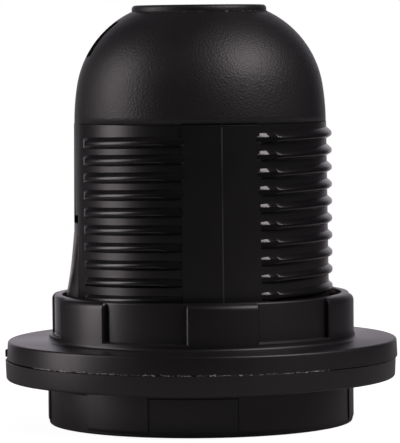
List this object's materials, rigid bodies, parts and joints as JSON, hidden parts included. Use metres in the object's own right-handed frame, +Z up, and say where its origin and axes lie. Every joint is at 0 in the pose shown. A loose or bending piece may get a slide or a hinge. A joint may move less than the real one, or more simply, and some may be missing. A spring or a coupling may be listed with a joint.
{
  "type": "lamp holder",
  "caption": "Threaded-barrel screw lamp holder with a latched domed cap, threaded cable entry, sprung centre contact and shade rings that clamp a lampshade.",
  "frame": {"origin": "on the barrel axis in the plane of the lamp mouth, which is also the end of the lower ring that the part stands on", "axes": "+Z up along the barrel axis to the cable entry; the long ring stop is on -X, and the smooth face with the mould parting line is towards -Y"},
  "size_m": [0.0572, 0.0572, 0.0613],
  "materials": {
    "cap_plastic": "matt, spark textured",
    "barrel_plastic": "satin moulded",
    "ring_plastic": "semi-gloss moulded",
    "porcelain": "glazed white",
    "brass": "turned",
    "nickel_plate": "bright nickel plate",
    "screw_steel": "zinc plated"
  },
  "bodies": {
    "holder": {"dome_cap": "cap_plastic", "barrel": "barrel_plastic", "entry_nut": "brass", "terminal_block": "porcelain", "screw_shell": "nickel_plate", "centre_contact": "nickel_plate", "centre_rivet": "brass", "live_terminal": "brass", "neutral_terminal": "brass", "shell_rivet_1": "brass", "shell_rivet_2": "brass", "shell_rivet_3": "brass"},
    "upper_ring": {"upper_ring": "ring_plastic"},
    "lower_ring": {"lower_ring": "ring_plastic"},
    "contact_tip": {"contact_button": "nickel_plate"},
    "live_screw": {"live_screw": "screw_steel"},
    "neutral_screw": {"neutral_screw": "screw_steel"},
    "entry_lock_screw": {"entry_lock_screw": "screw_steel"}
  },
  "joints": [
    {"name": "upper_ring_travel", "type": "slide", "parent": "holder", "child": "upper_ring", "axis": [0, 0, 1], "range_m": [0, 0.005]},
    {"name": "lower_ring_travel", "type": "slide", "parent": "holder", "child": "lower_ring", "axis": [0, 0, 1], "range_m": [-0.01, 0]},
    {"name": "contact_press", "type": "slide", "parent": "holder", "child": "contact_tip", "axis": [0, 0, 1], "range_m": [0, 0.0015], "stiffness_N_per_m": 2000, "deforming": ["centre_contact"]},
    {"name": "live_screw_travel", "type": "slide", "parent": "holder", "child": "live_screw", "axis": [0, 0, 1], "range_m": [0, 0.003]},
    {"name": "neutral_screw_travel", "type": "slide", "parent": "holder", "child": "neutral_screw", "axis": [0, 0, 1], "range_m": [0, 0.003]},
    {"name": "lock_screw_travel", "type": "slide", "parent": "holder", "child": "entry_lock_screw", "axis": [0, 1, 0], "range_m": [-0.0004, 0.002]}
  ]
}
